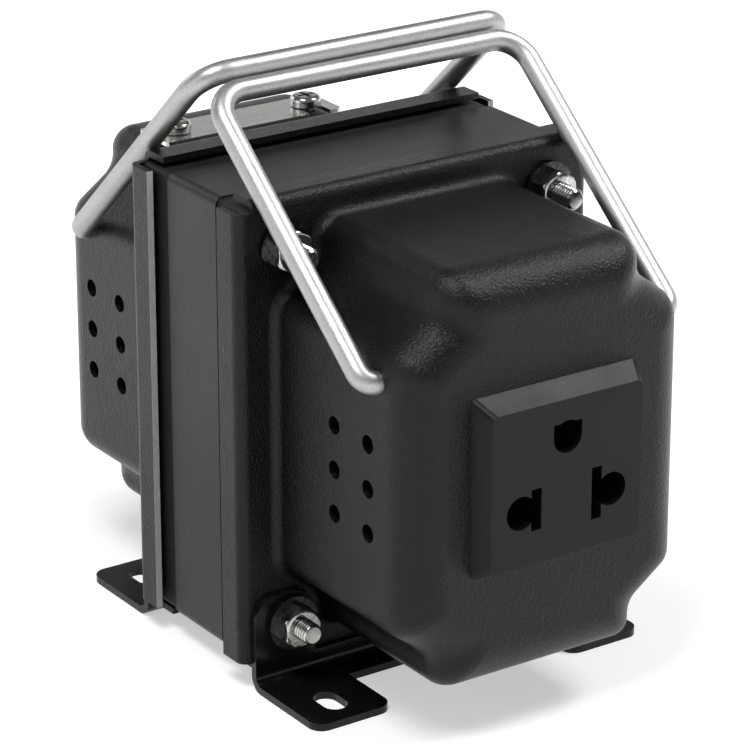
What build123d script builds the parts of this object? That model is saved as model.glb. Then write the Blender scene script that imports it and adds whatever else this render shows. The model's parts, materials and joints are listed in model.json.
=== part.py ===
from build123d import *
import math
import os

# A travel voltage converter: a transformer standing on edge between two drawn steel covers.
# Lengths are in millimetres. x runs to the right as the socket is faced, y from the socket to the
# back, z up from the surface under the feet. Pieces are drawn about the middle of the core and
# moved along y at the end, so that the origin lies under the middle of the whole object.

# Laminated core
lam_height = 84.0
lam_width = 70.0
limbs_in_height = 6
window_room = 4.0
stack_depth = 33.2
lam_corner_radius = 1.2
core_rise = 5.0
bolt_hole_radius = 2.25

# Band round the core
band_depth = 15.8
band_sheet = 0.4

# Drawn covers: flange, flaps and bell
cover_sheet = 1.2
flange_side_reach = 2.4
flange_end_reach = 2.1
flap_depth = 6.4
flange_bend_radius = 2.0
relief_width = 3.4
relief_height = 2.1
bell_past_bolt = 1.6
washer_side_room = 2.0
washer_top_room = 2.7
front_washer_room = 2.1
rear_washer_room = 4.0
shoulder_slope_share = 0.73
bell_bottom_set_in = 6.85
front_top_set_in = 5.4
rear_top_set_in = 7.3
front_bell_depth = 40.3
rear_bell_depth = 39.5
bell_corner_radius = 5.0
neck_top_radius = 4.5
neck_bottom_radius = 3.5
shoulder_inner_radius = 6.0
bell_end_radius = 8.0
flange_fillet = 1.8

# Vent holes in the covers' sides
vent_radius = 1.65
vent_rows = 3
vent_columns = 2
vent_drop = 19.5
vent_row_pitch = 8.15
vent_column_pitch = 10.1
vent_inner_column = 17.8

# Through bolts, nuts and washers
bolt_radius = 2.0
bolt_bevel = 0.5
hex_flats = 7.0
hex_bevel_share = 0.56
hex_round_share = 0.25
head_height = 2.8
nut_height = 3.2
washer_radius = 5.0
washer_sheet = 1.0
thread_reach = 4.5

# Foot rails
foot_sheet = 1.4
foot_past_bolt = 7.5
foot_shelf_depth = 6.9
foot_bend_radius = 3.0
foot_web_height = 5.0
foot_tab_width = 12.5
foot_tab_corner = 4.5
ear_width = 16.1
ear_depth = 14.1
ear_corner = 2.75
slot_width = 4.5
slot_length = 7.4
slot_from_ear_edge = 7.2

# Carrying handles
rod_radius = 2.0
handle_play = 0.7
handle_rest_gap = 0.1
handle_length = 60.0
handle_bend = 5.8
pivot_bend = 2.6
pivot_drop = 7.4
front_pivot_set_back = 9.5
rear_pivot_set_back = 12.1
pin_inside = 2.4

# Output socket
bezel_width = 34.8
bezel_height = 32.8
bezel_above_shoulder = 12.2
bezel_rise = 3.9
bezel_side_slope = 1.7
bezel_low_slope = 2.0
bezel_high_slope = 2.3
bezel_corner = 1.2
blade_spacing = 12.7
blade_slot_width = 2.1
right_slot_height = 9.6
left_slot_height = 7.6
blade_rise = 11.8
round_pin_spacing = 19.0
round_pin_radius = 3.05
earth_hole_width = 5.9
earth_hole_top_rise = 26.2
earth_hole_low_rise = 20.7
socket_wall = 1.0
socket_neck_depth = 6.1
socket_base_depth = 10.0
contact_sheet = 0.5
contact_height = 7.0
contact_lip = 1.0
contact_seat = 0.6
tail_width = 4.0
tail_reach = 4.0

# Selector on top of the rear cover
selector_set_back = 17.6
selector_slot_share = 0.2857
selector_slot_width = 5.0
selector_share = 0.5238
selector_depth = 11.0
selector_height = 12.0
travel_share = 0.1429
knob_share = 0.1238
knob_recess = 0.3
knob_groove_share = 0.1
knob_groove_pitch_share = 0.2778
runner_share = 0.2143
runner_thickness = 1.5
channel_depth = 6.4
ear_reach_share = 0.3905
ear_drop = 0.7
ear_thickness = 3.0
tag_spacing_share = 0.1905
tag_width = 3.0
tag_thickness = 0.8
tag_reach = 6.0

# Guard plate and its screws
guard_share = 0.9143
guard_width = 10.2
guard_sheet = 0.8
guard_corner = 1.0
screw_pitch_share = 0.681
screw_radius = 1.5
screw_head_radius = 2.9
screw_head_height = 1.9
screw_head_round = 0.9
screw_length = 8.0
recess_length = 3.4
recess_width = 0.7
recess_depth = 1.1

# Coil
bobbin_wall = 1.2
bobbin_play = 0.2
winding_build = 3.5
film_thickness = 0.3
coil_corner = 1.5
cutout_width = 12.0
cutout_height = 14.0
cutout_thickness = 3.0
coil_tag_levels = 3
coil_tag_pitch = 12.0
coil_tag_height = 2.4
coil_tag_sheet = 0.6
coil_tag_length = 7.0
coil_tag_reach = 2.4
coil_tag_hole = 0.6

# Fuse holder on the rear cover
rear_fitting_rise = 16.3
rear_fitting_share = 0.5556
fuse_thread_radius = 6.1
fuse_body_depth = 24.0
fuse_flange_radius = 7.5
fuse_flange_sheet = 2.0
fuse_nut_flats = 15.5
fuse_nut_height = 3.0
fuse_stem_radius = 5.0
fuse_stem_depth = 9.0
fuse_cap_radius = 6.9
fuse_cap_height = 6.4
fuse_cap_round = 0.8
coin_slot_width = 1.5
coin_slot_depth = 1.6
fuse_radius = 2.6
fuse_length = 20.0
fuse_seat_depth = 5.0
fuse_room = 0.6
fuse_floor = 1.6
fuse_tag_width = 4.0
fuse_tag_rise = 9.0
fuse_tag_sheet = 0.8

# Cord grommet on the rear cover
grommet_radius = 7.0
grommet_lip = 2.5
grommet_inner_lip = 2.0
grommet_waist_radius = 5.2
grommet_bore_radius = 3.6
grommet_round = 1.2

# Leads
lead_radius = 0.6
lead_run = 5.0
lead_rise = 6.5
lead_sag = 5.0
bend_share = 0.45

# Clearances
running_fit = 0.06
clearance = 0.3
panel_play = 0.2
overrun = 1.0
near = 0.01

# Places worked out from the sizes above
limb_width = lam_height / limbs_in_height
centre_leg_height = 2 * limb_width
coil_build = limb_width - window_room
core_level = core_rise + lam_height / 2
core_face = stack_depth / 2
plate_face = core_face + cover_sheet
bolt_x = (lam_width - limb_width) / 2
bolt_rise = (lam_height - limb_width) / 2
window_half = lam_width / 2 - limb_width
flange_width = lam_width + 2 * flange_side_reach
flange_height = lam_height + 2 * flange_end_reach
flange_top = core_level + flange_height / 2
bell_width = 2 * (bolt_x + bell_past_bolt)
neck_width = 2 * (bolt_x - washer_radius - washer_side_room)
bell_bottom = core_level - flange_height / 2 + bell_bottom_set_in
low_shoulder = core_level - bolt_rise + washer_radius + washer_top_room
upper_washer = core_level + bolt_rise - washer_radius
front_shoulder = upper_washer - front_washer_room
rear_shoulder = upper_washer - rear_washer_room
front_top = flange_top - front_top_set_in
rear_top = flange_top - rear_top_set_in
vent_top = front_shoulder - vent_drop
pivot_height = front_shoulder - pivot_drop
handle_width = bell_width + 2 * (rod_radius + handle_play)
foot_half_width = bolt_x + foot_past_bolt
bezel_bottom = low_shoulder + bezel_above_shoulder
blade_level = bezel_bottom + blade_rise
earth_hole_top = bezel_bottom + earth_hole_top_rise
earth_hole_bottom = bezel_bottom + earth_hole_low_rise
selector_slot_length = neck_width * selector_slot_share
selector_width = neck_width * selector_share
selector_travel = neck_width * travel_share
knob_length = neck_width * knob_share
runner_length = neck_width * runner_share
ear_reach = neck_width * ear_reach_share
tag_spacing = neck_width * tag_spacing_share
guard_length = neck_width * guard_share
screw_pitch = neck_width * screw_pitch_share
rear_fitting_level = low_shoulder + rear_fitting_rise
rear_fitting_offset = (bell_width / 2 - bell_end_radius) * rear_fitting_share
front_end = plate_face + front_bell_depth
rear_end = plate_face + rear_bell_depth
front_pivot = front_end - front_pivot_set_back
rear_pivot = rear_end - rear_pivot_set_back
selector_y = rear_end - selector_set_back
front_reach = front_end + bezel_rise
rear_reach = rear_end + fuse_flange_sheet + clearance + fuse_cap_height
shift = (front_reach - rear_reach) / 2


def block(x0, x1, y0, y1, z0, z1):
    """A box between two corners."""
    middle = Pos((x0 + x1) / 2, (y0 + y1) / 2, (z0 + z1) / 2)
    return middle * Box(x1 - x0, y1 - y0, z1 - z0)


def slab(face, y0, y1):
    """A face drawn in x and z, run along y."""
    return extrude(Pos(0, y0, 0) * (Plane.XZ * face), y1 - y0, dir=(0, 1, 0))


def plate(face, z0, z1):
    """A face drawn in x and y, run along z."""
    return extrude(Pos(0, 0, z0) * face, z1 - z0, dir=(0, 0, 1))


def round_bar_y(x, z, radius, y0, y1):
    """A round bar along y."""
    return slab(Pos(x, z) * Circle(radius), y0, y1)


def round_bar_x(y, z, radius, x0, x1):
    """A round bar along x."""
    return Pos((x0 + x1) / 2, y, z) * Rot(0, 90, 0) * Cylinder(radius, x1 - x0)


def round_bar_z(x, y, radius, z0, z1):
    """A round bar along z."""
    return Pos(x, y, (z0 + z1) / 2) * Cylinder(radius, z1 - z0)


def hex_bar_y(x, z, flats, y0, y1):
    """A hexagonal bar along y, with a point up."""
    return slab(Pos(x, z) * RegularPolygon(flats / 2, 6, major_radius=False, rotation=30), y0, y1)


def front(piece):
    """Turns a piece drawn towards the back into its mirror image at the front."""
    return mirror(piece, about=Plane.XZ)


def edges_at_y(piece, y, half_width):
    """Edges that lie flat at one y and within a half width."""
    found = []
    for edge in piece.edges():
        box = edge.bounding_box()
        flat = abs(box.min.Y - y) < near and abs(box.max.Y - y) < near
        if flat and max(abs(box.min.X), abs(box.max.X)) < half_width + near:
            found.append(edge)
    return found


def save(node, *solids):
    """Moves a node's solids to the object's origin and writes them."""
    pieces = [Pos(0, shift, 0) * solid for piece in solids for solid in piece.solids()]
    shape = pieces[0] if len(pieces) == 1 else Compound(children=pieces)
    export_step(shape, f"parts/{node}.step")


# Core

def lamination_holes(side):
    """The two bolt holes at one side of the stack."""
    end = core_face + overrun
    return [
        round_bar_y(side * bolt_x, core_level + rise, bolt_hole_radius, -end, end)
        for rise in (-bolt_rise, bolt_rise)
    ]


def stack_outline():
    """The whole stack with its rounded outer corners."""
    outline = RectangleRounded(lam_width, lam_height, lam_corner_radius)
    return slab(Pos(0, core_level) * outline, -core_face, core_face)


def core_e_laminations():
    """The E part: back limb on the right and three legs to the left."""
    stack = stack_outline()
    stack -= block(-lam_width, -window_half, -stack_depth, stack_depth, 0, core_level + lam_height)
    inner = centre_leg_height / 2
    outer = inner + limb_width
    for low, high in ((inner, outer), (-outer, -inner)):
        stack -= block(
            -window_half - overrun, window_half, -stack_depth, stack_depth,
            core_level + low, core_level + high,
        )
    for hole in lamination_holes(1):
        stack -= hole
    return stack


def core_i_laminations():
    """The I part, closing the legs on the left."""
    stack = stack_outline()
    stack -= block(-window_half, lam_width, -stack_depth, stack_depth, 0, core_level + lam_height)
    for hole in lamination_holes(-1):
        stack -= hole
    return stack


def core_band():
    """The sheet band round the middle of the stack."""
    outer_radius = lam_corner_radius + band_sheet
    outer = RectangleRounded(lam_width + 2 * band_sheet, lam_height + 2 * band_sheet, outer_radius)
    inner = RectangleRounded(lam_width, lam_height, lam_corner_radius)
    return slab(Pos(0, core_level) * (outer - inner), -band_depth / 2, band_depth / 2)


# Covers

def round_corners(piece, half_width, levels, radius):
    """Rounds the edges that run along y at a half width, to the left and right, at some levels."""
    found = []
    for edge in piece.edges().filter_by(Axis.Y):
        middle = edge.center()
        level_gap = min(abs(middle.Z - level) for level in levels)
        if abs(abs(middle.X) - half_width) < near and level_gap < near:
            found.append(edge)
    return fillet(found, radius)


def bell_form(inset, top, shoulder, y0, y1):
    """The bell as a solid form with sloped, stepped corners, drawn in from the outside by an inset."""
    wide = bell_width / 2 - inset
    neck = neck_width / 2 - inset
    high, low = top - inset, bell_bottom + inset
    fall = (bell_width - neck_width) / 4 * shoulder_slope_share
    drawn = inset * (math.hypot(1, shoulder_slope_share) - shoulder_slope_share)
    up_wide, up_neck = shoulder - fall - drawn, shoulder + fall - drawn
    down_wide, down_neck = low_shoulder + fall + drawn, low_shoulder - fall + drawn
    points = [
        (-wide, down_wide), (-neck, down_neck), (-neck, low),
        (neck, low), (neck, down_neck), (wide, down_wide),
        (wide, up_wide), (neck, up_neck), (neck, high),
        (-neck, high), (-neck, up_neck), (-wide, up_wide),
    ]
    form = slab(make_face(Polyline(*points, close=True)), y0, y1)
    form = fillet(edges_at_y(form, y1, wide), bell_end_radius - inset)
    form = round_corners(form, wide, (down_wide, up_wide), bell_corner_radius - inset)
    form = round_corners(form, neck, [high], neck_top_radius - inset)
    form = round_corners(form, neck, [low], neck_bottom_radius - inset)
    return round_corners(form, neck, (down_neck, up_neck), shoulder_inner_radius + inset)


def flange_box(inset, y0, y1, radius):
    """The shallow tray that the flange and flaps are cut from."""
    face = Rectangle(flange_width - 2 * inset, flange_height - 2 * inset)
    tray = slab(Pos(0, core_level) * face, y0, y1)
    return fillet(edges_at_y(tray, y1, flange_width), radius)


def cover(top, shoulder, end, pivot):
    """A drawn cover, bell outwards along y, with the holes that both covers have."""
    flap_back = plate_face - flap_depth
    body = flange_box(0, flap_back, plate_face, flange_bend_radius)
    body -= flange_box(cover_sheet, flap_back - overrun, core_face, flange_bend_radius - cover_sheet)
    for side in (-1, 1):
        for rise in (-1, 1):
            corner = Pos(side * flange_width / 2, plate_face, core_level + rise * flange_height / 2)
            body -= corner * Box(2 * relief_width, 4 * flap_depth, 2 * relief_height)

    body += bell_form(0, top, shoulder, core_face, end)
    body = fillet(edges_at_y(body, plate_face, bell_width / 2), flange_fillet)

    body -= bell_form(cover_sheet, top, shoulder, core_face - overrun, end - cover_sheet)

    for side in (-1, 1):
        for rise in (-bolt_rise, bolt_rise):
            body -= round_bar_y(
                side * bolt_x, core_level + rise, bolt_hole_radius,
                core_face - overrun, plate_face + overrun,
            )
        wall = side * bell_width / 2
        pin_hole = rod_radius + running_fit
        body -= round_bar_x(pivot, pivot_height, pin_hole, wall - pin_inside, wall + pin_inside)
        for column in range(vent_columns):
            for row in range(vent_rows):
                y = plate_face + vent_inner_column + column * vent_column_pitch
                z = vent_top - row * vent_row_pitch
                body -= round_bar_x(y, z, vent_radius, wall - pin_inside, wall + pin_inside)
    return body


def front_cover():
    """The front cover, open for the socket."""
    body = cover(front_top, front_shoulder, front_end, front_pivot)
    body -= socket_block(front_end - 2 * cover_sheet, front_end + overrun, -panel_play)
    return front(body)


def rear_cover():
    """The rear cover, open for the selector, the fuse holder and the cord grommet."""
    body = cover(rear_top, rear_shoulder, rear_end, rear_pivot)
    slot_x, slot_y = selector_slot_length / 2, selector_slot_width / 2
    low, high = rear_top - 2 * cover_sheet, rear_top + overrun
    body -= block(-slot_x, slot_x, selector_y - slot_y, selector_y + slot_y, low, high)
    for side in (-1, 1):
        body -= round_bar_z(side * screw_pitch / 2, selector_y, screw_radius + panel_play, low, high)
    inner, outer = rear_end - 2 * cover_sheet, rear_end + overrun
    fuse_hole = fuse_thread_radius + panel_play
    body -= round_bar_y(rear_fitting_offset, rear_fitting_level, fuse_hole, inner, outer)
    body -= round_bar_y(-rear_fitting_offset, rear_fitting_level, grommet_waist_radius, inner, outer)
    return body


# Bolts, nuts and washers

def bolt_places():
    """Each bolt's x, z and the outer face of what lies on the cover's plate there."""
    return [
        (side * bolt_x, core_level + rise, plate_face + (foot_sheet if rise < 0 else 0))
        for side in (-1, 1)
        for rise in (-bolt_rise, bolt_rise)
    ]


def bolt(x, z, seat):
    """One long bolt with its head at the back."""
    head_face = seat + washer_sheet
    tip = plate_face + washer_sheet + nut_height + thread_reach
    shank = round_bar_y(x, z, bolt_radius, -tip, head_face)
    shank = chamfer(edges_at_y(shank, -tip, lam_width), bolt_bevel)
    head = hex_bar_y(x, z, hex_flats, head_face, head_face + head_height)
    bevel = round_bar_y(x, z, hex_flats * hex_bevel_share, head_face, head_face + head_height)
    bevel = fillet(edges_at_y(bevel, head_face + head_height, lam_width), head_height * hex_round_share)
    return shank + (head & bevel)


def nut(x, z, seat):
    """One hexagonal nut at the front, its points bevelled."""
    face = seat + washer_sheet
    body = hex_bar_y(x, z, hex_flats, face, face + nut_height)
    bevel = round_bar_y(x, z, hex_flats * hex_bevel_share, face, face + nut_height)
    bevel = fillet(edges_at_y(bevel, face + nut_height, lam_width), nut_height * hex_round_share)
    body &= bevel
    body -= round_bar_y(x, z, bolt_radius + running_fit, face - overrun, face + nut_height + overrun)
    return front(body)


def washer(x, z, seat):
    """One flat washer."""
    body = round_bar_y(x, z, washer_radius, seat, seat + washer_sheet)
    return body - round_bar_y(x, z, bolt_hole_radius, seat - overrun, seat + washer_sheet + overrun)


# Foot rails

def foot_rail():
    """A rail bent from one strip: two tabs, a low web and a shelf with two slotted ears."""
    shelf_edge = plate_face + foot_shelf_depth
    tab_face = plate_face + foot_sheet
    section = FilletPolyline(
        (plate_face, 0), (shelf_edge, 0), (shelf_edge, foot_sheet), (tab_face, foot_sheet),
        (tab_face, foot_web_height), (plate_face, foot_web_height),
        radius=[foot_bend_radius, 0.0, 0.0, foot_bend_radius - foot_sheet, 0.0, 0.0], close=True,
    )
    strip = extrude(Plane.YZ * make_face(section), foot_half_width, both=True)
    tab_top = low_shoulder - flange_fillet - clearance
    tab_bottom = foot_web_height - foot_sheet
    tab_middle = foot_half_width - foot_tab_width / 2
    for side in (-1, 1):
        face = RectangleRounded(foot_tab_width, 2 * (tab_top - tab_bottom), foot_tab_corner)
        tab = slab(Pos(side * tab_middle, tab_bottom) * face, plate_face, tab_face)
        strip += tab - block(-lam_width, lam_width, 0, 2 * lam_width, -lam_height, tab_bottom)
        ear_middle = foot_half_width - ear_width / 2
        ear_root = tab_face + foot_bend_radius - foot_sheet
        ear_edge = shelf_edge + ear_depth
        face = RectangleRounded(ear_width, 2 * (ear_edge - ear_root), ear_corner)
        ear = plate(Pos(side * ear_middle, ear_root) * face, 0, foot_sheet)
        strip += ear - block(-lam_width, lam_width, 0, ear_root, -foot_sheet, 2 * foot_sheet)
        slot = SlotOverall(slot_length, slot_width, rotation=90)
        place = Pos(side * bolt_x, ear_edge - slot_from_ear_edge)
        strip -= plate(place * slot, -overrun, foot_sheet + overrun)
        strip -= round_bar_y(
            side * bolt_x, core_level - bolt_rise, bolt_hole_radius,
            plate_face - overrun, tab_face + overrun,
        )
    return strip


# Handles

def rest_lean(pivot):
    """The angle above level at which a handle's legs lie on its cover's flange."""
    across = pivot - (plate_face - flange_bend_radius)
    rise = flange_top - flange_bend_radius - pivot_height
    room = flange_bend_radius + rod_radius + handle_rest_gap
    return math.atan2(rise, across) + math.asin(room / math.hypot(across, rise))


def handle(pivot):
    """A rod bent to a bail, its ends turned in through the holes of a cover's sides."""
    lean = rest_lean(pivot)
    leg = handle_width / 2
    tip = bell_width / 2 - cover_sheet - pin_inside
    far_y = pivot - handle_length * math.cos(lean)
    far_z = pivot_height + handle_length * math.sin(lean)
    path = FilletPolyline(
        (tip, pivot, pivot_height), (leg, pivot, pivot_height), (leg, far_y, far_z),
        (-leg, far_y, far_z), (-leg, pivot, pivot_height), (-tip, pivot, pivot_height),
        radius=[pivot_bend, handle_bend, handle_bend, pivot_bend],
    )
    start = Plane(origin=path @ 0, z_dir=path % 0)
    return sweep(start * Circle(rod_radius), path=path)


# Output socket

bezel_middle = bezel_bottom + bezel_height / 2


def socket_block(y0, y1, inset):
    """The part of the socket that passes through the front panel, drawn in by an inset."""
    width = bezel_width - 2 * (bezel_side_slope + socket_wall + inset)
    height = bezel_height - bezel_low_slope - bezel_high_slope - 2 * (socket_wall + inset)
    level = bezel_middle + (bezel_low_slope - bezel_high_slope) / 2
    return slab(Pos(0, level) * RectangleRounded(width, height, bezel_corner), y0, y1)


def pin_openings():
    """The outlines that the plug's pins go in through: left, right and earth."""
    faces = []
    for side, slot_height in ((-1, left_slot_height), (1, right_slot_height)):
        slot = Pos(side * blade_spacing / 2, blade_level) * Rectangle(blade_slot_width, slot_height)
        lobe = Pos(side * round_pin_spacing / 2, blade_level) * Circle(round_pin_radius)
        faces.append(slot + lobe)
    radius = earth_hole_width / 2
    centre = earth_hole_bottom + radius
    middle = Pos(0, (centre + earth_hole_top) / 2)
    straight = middle * Rectangle(earth_hole_width, earth_hole_top - centre)
    faces.append(Pos(0, centre) * Circle(radius) + straight)
    return faces


def socket_face():
    """The socket's face moulding, its sides sloped, open for three pins."""
    base = RectangleRounded(bezel_width, bezel_height, bezel_corner)
    top_width = bezel_width - 2 * bezel_side_slope
    top_height = bezel_height - bezel_low_slope - bezel_high_slope
    top_level = bezel_middle + (bezel_low_slope - bezel_high_slope) / 2
    top = RectangleRounded(top_width, top_height, bezel_corner)
    lower = Pos(0, front_end, 0) * (Plane.XZ * (Pos(0, bezel_middle) * base))
    upper = Pos(0, front_end + bezel_rise, 0) * (Plane.XZ * (Pos(0, top_level) * top))
    body = loft([lower, upper])
    body += socket_block(front_end - socket_neck_depth, front_end, 0)
    for face in pin_openings():
        body -= slab(face, front_end - socket_neck_depth - overrun, front_end + bezel_rise + overrun)
    return front(body)


# Chambers in the socket's base, as left, right, bottom and top

line_inner = blade_spacing / 2 - blade_slot_width / 2 - socket_wall
line_outer = round_pin_spacing / 2 + round_pin_radius + socket_wall
line_low = blade_level - right_slot_height / 2
line_high = blade_level + right_slot_height / 2
earth_half = earth_hole_width / 2 + socket_wall
earth_low = earth_hole_bottom - socket_wall / 2
earth_high = earth_hole_top + socket_wall
socket_back = front_end - socket_neck_depth - socket_base_depth
socket_floor = socket_back + socket_wall
line_middle = (line_inner + line_outer) / 2
earth_level = (earth_low + earth_high) / 2


def contact_tails():
    """Where each contact's tail goes out through the floor, in x and z."""
    return ((-line_middle, blade_level), (line_middle, blade_level), (0, earth_level))


def socket_housing():
    """The socket's base, with a chamber for each contact and a slot for each tail."""
    mouth = front_end - socket_neck_depth
    body = socket_block(socket_back, mouth, 0)
    for side in (-1, 1):
        x0, x1 = sorted((side * line_inner, side * line_outer))
        body -= block(x0, x1, socket_floor, mouth + overrun, line_low, line_high)
    body -= block(-earth_half, earth_half, socket_floor, mouth + overrun, earth_low, earth_high)
    half_x, half_z = contact_sheet / 2 + panel_play, tail_width / 2 + panel_play
    for x, z in contact_tails():
        body -= block(
            x - half_x, x + half_x, socket_back - overrun, socket_floor + overrun, z - half_z, z + half_z
        )
    return front(body)


def contact(half_width, x, z, height):
    """A strip folded to two springs that grip a pin, with a tail through the floor."""
    mouth = front_end - socket_neck_depth - contact_seat
    root = socket_floor + contact_sheet / 2
    grip = (mouth + root) / 2
    foot = half_width - contact_sheet
    lip = half_width - contact_sheet / 2
    pinch = lip - contact_lip
    strip = Polyline(
        (-lip, mouth), (-pinch, grip), (-foot, root), (foot, root), (pinch, grip), (lip, mouth)
    )
    springs = plate(trace(strip, contact_sheet), z - height / 2, z + height / 2)
    half = contact_sheet / 2
    tail = block(-half, half, socket_back - tail_reach, root, z - tail_width / 2, z + tail_width / 2)
    return front(Pos(x, 0, 0) * (springs + tail))


def line_contact(side):
    """One of the two line contacts."""
    half_width = (line_outer - line_inner) / 2 - panel_play
    return contact(half_width, side * line_middle, blade_level, contact_height)


def ground_contact():
    """The earth contact."""
    return contact(earth_half - panel_play, 0, earth_level, contact_height - 2 * contact_lip)


# Selector

inner_top = rear_top - cover_sheet
knob_top = rear_top - knob_recess
channel_floor = inner_top - channel_depth
runner_low = channel_floor + clearance
ear_top = inner_top - ear_drop
selector_floor = inner_top - selector_height


def selector_body():
    """The selector's housing, held up under the cover by two tapped ears."""
    half_x, half_y = selector_width / 2, selector_depth / 2
    y0, y1 = selector_y - half_y, selector_y + half_y
    body = block(-half_x, half_x, y0, y1, selector_floor, inner_top)
    body += block(-ear_reach, ear_reach, y0, y1, ear_top - ear_thickness, ear_top)
    run = (runner_length + selector_travel) / 2 + clearance
    width = selector_slot_width / 2 + clearance
    body -= block(-run, run, selector_y - width, selector_y + width, channel_floor, inner_top + overrun)
    low, hole = ear_top - 2 * ear_thickness, screw_radius + running_fit
    for side in (-1, 1):
        body -= round_bar_z(side * screw_pitch / 2, selector_y, hole, low, inner_top)
    return body


def selector_slider():
    """The slider at its left stop: a runner in the channel and a ribbed knob in the slot."""
    x = -selector_travel / 2
    half_run, half_knob = runner_length / 2, knob_length / 2
    width = selector_slot_width / 2 - clearance
    y0, y1 = selector_y - width, selector_y + width
    body = block(x - half_run, x + half_run, y0, y1, runner_low, runner_low + runner_thickness)
    body += block(x - half_knob, x + half_knob, y0, y1, runner_low, knob_top)
    groove = knob_length * knob_groove_share
    for place in (-1, 0, 1):
        middle = x + place * knob_length * knob_groove_pitch_share
        body -= block(
            middle - groove / 2, middle + groove / 2, selector_y - 2 * width, selector_y + 2 * width,
            knob_top - groove, knob_top + overrun,
        )
    return body


def selector_tags():
    """Three solder tags under the selector."""
    half_x, half_y = tag_width / 2, tag_thickness / 2
    return [
        block(
            x - half_x, x + half_x, selector_y - half_y, selector_y + half_y,
            selector_floor - tag_reach, selector_floor,
        )
        for x in (-tag_spacing, 0, tag_spacing)
    ]


# Guard plate

guard_low = rear_top + panel_play
guard_high = guard_low + guard_sheet


def guard_plate():
    """The plate over the selector, pivoting on its left screw and notched for the right one."""
    face = RectangleRounded(guard_length, guard_width, guard_corner)
    body = plate(Pos(0, selector_y) * face, guard_low, guard_high)
    low, high = guard_low - overrun, guard_high + overrun
    body -= round_bar_z(-screw_pitch / 2, selector_y, screw_radius + running_fit, low, high)
    swerve = guard_width ** 2 / (8 * screw_pitch)
    half = screw_radius + clearance + swerve
    x = screw_pitch / 2
    body -= round_bar_z(x, selector_y, half, low, high)
    body -= block(x - half, x + half, selector_y - guard_width, selector_y, low, high)
    return body


def guard_screw(side):
    """A pan head screw with a cross recess."""
    x = side * screw_pitch / 2
    seat = guard_high + panel_play
    top = seat + screw_head_height
    head = Pos(x, selector_y, (seat + top) / 2) * Cylinder(screw_head_radius, screw_head_height)
    head = fillet(head.edges().sort_by(Axis.Z)[-1], screw_head_round)
    half_long, half_wide = recess_length / 2, recess_width / 2
    for reach_x, reach_y in ((half_long, half_wide), (half_wide, half_long)):
        head -= block(
            x - reach_x, x + reach_x, selector_y - reach_y, selector_y + reach_y,
            top - recess_depth, top + overrun,
        )
    return head + round_bar_z(x, selector_y, screw_radius, seat - screw_length, seat)


# Coil round the centre leg, its axis along x

coil_end = window_half - bobbin_play - running_fit
leg_y = core_face + bobbin_play
leg_z = centre_leg_height / 2 + bobbin_play


def coil_tube(inner, outer, half_length):
    """A square tube round the leg, from one build-up to another above the leg."""
    def section(build):
        size_y, size_z = 2 * (leg_y + build), 2 * (leg_z + build)
        if build > 0:
            return RectangleRounded(size_y, size_z, min(coil_corner, build))
        return Rectangle(size_y, size_z)

    ring = section(outer) - section(inner)
    return extrude(Pos(0, 0, core_level) * (Plane.YZ * ring), half_length, both=True)


primary_start = bobbin_wall
film_start = primary_start + winding_build
secondary_start = film_start + film_thickness
tape_start = secondary_start + winding_build
coil_surface = tape_start + film_thickness
winding_half = coil_end - bobbin_wall
flange_y = core_face + coil_build


def bobbin():
    """The former: a square tube with a flange at each end."""
    body = coil_tube(0, bobbin_wall, coil_end)
    flange_z = centre_leg_height / 2 + coil_build
    for side in (-1, 1):
        x0, x1 = sorted((side * winding_half, side * coil_end))
        flange = block(x0, x1, -flange_y, flange_y, core_level - flange_z, core_level + flange_z)
        body += flange - block(x0, x1, -leg_y, leg_y, core_level - leg_z, core_level + leg_z)
    return body


def thermal_cutout():
    """The thermal cut-out, lying on the coil's front."""
    y = leg_y + coil_surface
    half_x, half_z = cutout_width / 2, cutout_height / 2
    body = block(-half_x, half_x, y, y + cutout_thickness, core_level - half_z, core_level + half_z)
    return front(fillet(body.edges().filter_by(Axis.Y), cutout_thickness / 2))


def coil_tags(side_y):
    """The solder tags on the flanges at the front or the back of the coil."""
    tags = []
    for side in (-1, 1):
        for level in range(coil_tag_levels):
            z = core_level + (level - (coil_tag_levels - 1) / 2) * coil_tag_pitch
            x0, x1 = sorted((side * coil_end, side * (coil_end + coil_tag_sheet)))
            y0, y1 = flange_y + coil_tag_reach - coil_tag_length, flange_y + coil_tag_reach
            tag = block(x0, x1, y0, y1, z - coil_tag_height / 2, z + coil_tag_height / 2)
            hole_y = y1 - 2 * coil_tag_hole
            tag -= round_bar_x(hole_y, z, coil_tag_hole, x0 - overrun, x1 + overrun)
            tags.append(front(tag) if side_y < 0 else tag)
    return tags


# Fuse holder

fuse_x = rear_fitting_offset
fuse_face = rear_end + fuse_flange_sheet
fuse_back = rear_end - fuse_body_depth
stem_tip = fuse_face - fuse_stem_depth
fuse_end = stem_tip + fuse_seat_depth
fuse_start = fuse_end - fuse_length


def fuse_holder_body():
    """The holder's insulating barrel, with a flange outside the panel."""
    z = rear_fitting_level
    body = round_bar_y(fuse_x, z, fuse_thread_radius, fuse_back, rear_end)
    body += round_bar_y(fuse_x, z, fuse_flange_radius, rear_end, fuse_face)
    stem_room = fuse_stem_radius + running_fit
    body -= round_bar_y(fuse_x, z, stem_room, stem_tip - clearance, fuse_face + overrun)
    body -= round_bar_y(fuse_x, z, fuse_radius + fuse_room, fuse_back + fuse_floor, fuse_face)
    return body


def fuse_holder_nut():
    """The nut that clamps the holder to the panel from inside."""
    y1 = rear_end - cover_sheet
    y0 = y1 - fuse_nut_height
    body = hex_bar_y(fuse_x, rear_fitting_level, fuse_nut_flats, y0, y1)
    bore = fuse_thread_radius + running_fit
    return body - round_bar_y(fuse_x, rear_fitting_level, bore, y0 - overrun, y1 + overrun)


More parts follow.
